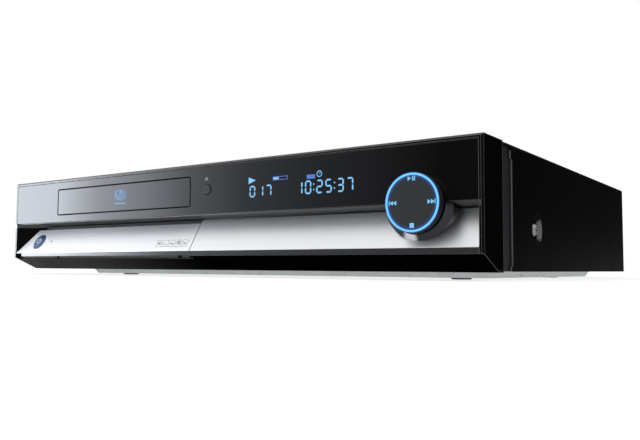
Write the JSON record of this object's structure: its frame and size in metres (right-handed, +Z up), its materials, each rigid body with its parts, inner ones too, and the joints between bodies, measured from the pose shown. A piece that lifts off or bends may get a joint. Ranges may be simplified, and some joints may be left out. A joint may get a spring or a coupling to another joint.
{
  "type": "blu-ray player",
  "caption": "Low black disc player with a gloss front, sloping aluminium trim, motor disc drawer, card flap and round four-way control.",
  "frame": {"origin": "centre of the overall box, on the ground under the feet", "axes": "+Z up, -Y out of the front, +X to the right seen from the front"},
  "size_m": [0.43, 0.3372, 0.078],
  "materials": {
    "satin_black_steel": "satin",
    "gloss_black": "gloss",
    "tray_door_black": "gloss",
    "strip_grey": "matte",
    "brushed_aluminium": "brushed",
    "button_silver": "satin",
    "skirt_chrome": "polished",
    "light_ring_blue": "gloss",
    "control_face": "gloss",
    "button_black": "gloss",
    "lamp_red": "clear",
    "pan_steel": "satin",
    "rear_black_steel": "satin",
    "screw_black": "satin",
    "foot_rubber": "matte",
    "inner_black": "matte",
    "tray_grey": "satin",
    "gear_white": "satin",
    "belt_rubber": "matte",
    "motor_steel": "satin",
    "polished_steel": "polished",
    "brass": "satin",
    "lens_glass": "clear",
    "board_green": "satin",
    "display_glass": "clear",
    "sink_aluminium": "satin",
    "transformer_tape": "satin",
    "capacitor_sleeve": "gloss",
    "cable_white": "satin",
    "card_reader_steel": "satin",
    "jack_black": "gloss"
  },
  "bodies": {
    "cabinet": {"top_cover": "satin_black_steel", "cover_screws": "screw_black", "chassis_pan": "pan_steel", "feet": "foot_rubber", "side_strips": "strip_grey", "rear_panel": "rear_black_steel", "front_frame": "gloss_black", "fascia_panel": "gloss_black", "lower_trim": "brushed_aluminium", "card_bezel": "inner_black", "power_housing": "inner_black", "card_reader": "card_reader_steel", "power_light_ring": "light_ring_blue", "standby_light": "lamp_red", "tact_switches": "inner_black", "control_skirt": "skirt_chrome", "control_housing": "inner_black", "control_board": "board_green", "front_board": "board_green", "display_tube": "display_glass", "loader_frame": "inner_black", "clamp_bridge": "pan_steel", "loading_belt": "belt_rubber", "loading_motor": "motor_steel", "drive_mounts": "inner_black", "main_board": "board_green", "main_heat_sink": "sink_aluminium", "power_board": "board_green", "transformer": "transformer_tape", "capacitors": "capacitor_sleeve", "power_heat_sinks": "sink_aluminium", "flat_cables": "cable_white", "mains_inlet": "jack_black", "fan_frame": "inner_black", "video_jack": "polished_steel", "phono_jacks": "jack_black", "digital_jacks": "jack_black"},
    "card_flap": {"card_door": "brushed_aluminium", "card_door_backing": "inner_black", "card_door_pins": "polished_steel"},
    "power_key": {"power_button": "button_silver"},
    "open_key": {"open_close_button": "button_black"},
    "gimbal": {"control_gimbal": "inner_black"},
    "control": {"control_cap": "control_face", "control_light_ring": "light_ring_blue"},
    "tray": {"disc_tray": "tray_grey", "tray_door": "tray_door_black"},
    "drive_gear": {"tray_drive_gear": "gear_white"},
    "pulley_gear": {"loading_pulley": "gear_white"},
    "motor_shaft": {"motor_pulley": "brass"},
    "traverse_unit": {"traverse": "pan_steel", "guide_rails": "polished_steel", "spindle_motor": "motor_steel", "sled_motor": "motor_steel"},
    "spindle": {"turntable": "gear_white"},
    "clamp_puck": {"clamper": "gear_white"},
    "sled": {"pickup_sled": "inner_black", "pickup_lens": "lens_glass"},
    "screw": {"lead_screw": "polished_steel"},
    "fan": {"fan_rotor": "inner_black"}
  },
  "joints": [
    {"name": "tray_slide", "type": "slide", "parent": "cabinet", "child": "tray", "axis": [0, -1, 0], "range_m": [0, 0.14]},
    {"name": "tray_gear_spin", "type": "hinge", "parent": "cabinet", "child": "drive_gear", "pos_m": [-0.02535, -0.1184, 0.047], "axis": [0, 0, 1], "range_deg": [-1003, 0]},
    {"name": "pulley_spin", "type": "hinge", "parent": "cabinet", "child": "pulley_gear", "pos_m": [-0.04615, -0.1184, 0.043], "axis": [0, 0, 1], "range_deg": [0, 3343]},
    {"name": "motor_shaft_spin", "type": "hinge", "parent": "cabinet", "child": "motor_shaft", "pos_m": [-0.08535, -0.1184, 0.041], "axis": [0, 0, 1], "range_deg": [0, 10286]},
    {"name": "traverse_tilt", "type": "hinge", "parent": "cabinet", "child": "traverse_unit", "pos_m": [-0.07735, 0.0336, 0.03925], "axis": [1, 0, 0], "range_deg": [0, 4]},
    {"name": "spindle_spin", "type": "hinge", "parent": "traverse_unit", "child": "spindle", "pos_m": [-0.07735, -0.0864, 0.055], "axis": [0, 0, 1], "continuous": true},
    {"name": "clamper_spin", "type": "hinge", "parent": "cabinet", "child": "clamp_puck", "pos_m": [-0.07735, -0.0864, 0.066], "axis": [0, 0, 1], "continuous": true},
    {"name": "pickup_slide", "type": "slide", "parent": "traverse_unit", "child": "sled", "axis": [0, 1, 0], "range_m": [0, 0.035]},
    {"name": "lead_screw_spin", "type": "hinge", "parent": "traverse_unit", "child": "screw", "pos_m": [-0.04385, -0.0364, 0.046], "axis": [0, 1, 0], "range_deg": [0, 4202]},
    {"name": "card_door_hinge", "type": "hinge", "parent": "cabinet", "child": "card_flap", "pos_m": [-0.106, -0.1594, 0.0162], "axis": [1, 0, 0], "range_deg": [0, 110]},
    {"name": "power_press", "type": "slide", "parent": "cabinet", "child": "power_key", "axis": [0, 0.866, -0.5], "range_m": [0, 0.0006], "stiffness_N_per_m": 500},
    {"name": "open_press", "type": "slide", "parent": "cabinet", "child": "open_key", "axis": [0, 1, 0], "range_m": [0, 0.0006], "stiffness_N_per_m": 400},
    {"name": "control_pitch", "type": "hinge", "parent": "cabinet", "child": "gimbal", "pos_m": [0.1764, -0.1564, 0.0424], "axis": [1, 0, 0], "range_deg": [-1.4, 1.4], "stiffness_Nm_per_rad": 2},
    {"name": "control_yaw", "type": "hinge", "parent": "gimbal", "child": "control", "pos_m": [0.1764, -0.1564, 0.0424], "axis": [0, 0, 1], "range_deg": [-1.4, 1.4], "stiffness_Nm_per_rad": 2},
    {"name": "fan_spin", "type": "hinge", "parent": "cabinet", "child": "fan", "pos_m": [-0.025, 0.1526, 0.0415], "axis": [0, 1, 0], "continuous": true}
  ],
  "couplings": [
    {"joint": "tray_gear_spin", "follows": "tray_slide", "rad_per_m": -125},
    {"joint": "pulley_spin", "follows": "tray_slide", "rad_per_m": 416.67},
    {"joint": "motor_shaft_spin", "follows": "tray_slide", "rad_per_m": 1282.1},
    {"joint": "clamper_spin", "follows": "spindle_spin", "ratio": 1},
    {"joint": "lead_screw_spin", "follows": "pickup_slide", "rad_per_m": 2094.4}
  ]
}
